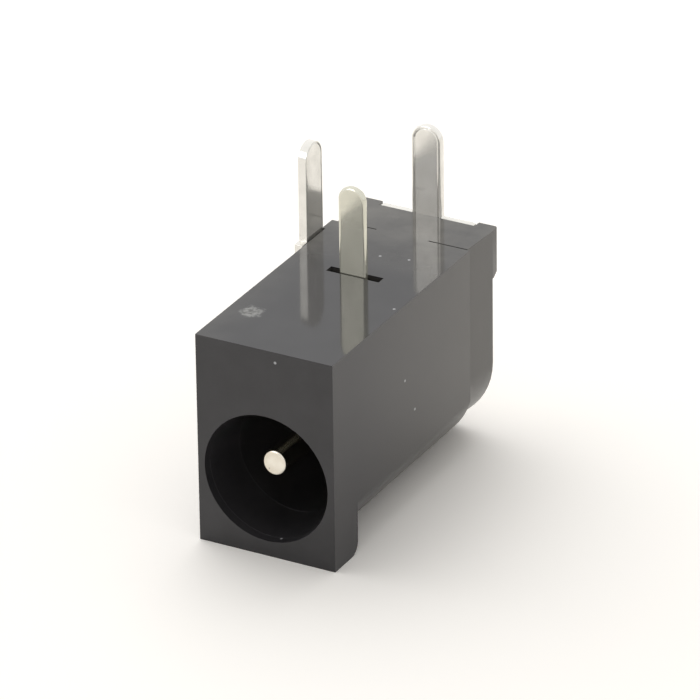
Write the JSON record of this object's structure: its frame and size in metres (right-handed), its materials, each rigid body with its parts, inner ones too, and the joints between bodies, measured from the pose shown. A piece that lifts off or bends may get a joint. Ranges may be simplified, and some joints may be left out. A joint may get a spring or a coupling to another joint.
{
  "type": "dc barrel jack",
  "caption": "Right-angle dc power jack for a circuit board: moulded housing with a round plug socket, a centre pin, a sleeve spring and a switch contact on flat solder tabs.",
  "frame": {"origin": "centre of the plug socket's mouth, on the housing's front face", "axes": "+Y into the socket along the plug's way, -Y towards the plug; +Z towards the circuit board, the way the solder tabs point; +X to the right when looking into the socket with the tabs up"},
  "size_m": [0.0054, 0.0117, 0.0108],
  "materials": {
    "black_plastic": "satin moulded PBT, smoother on the board face",
    "turned_brass": "nickel-plated, turned",
    "tinned_sheet": "tin-plated sheet, stamped",
    "spring_sheet": "tin-plated phosphor bronze, stamped and bent"
  },
  "bodies": {
    "root": {"housing": "black_plastic", "centre_pin": "turned_brass", "centre_terminal": "tinned_sheet", "sleeve_spring": "spring_sheet", "switch_contact": "tinned_sheet"}
  },
  "joints": []
}
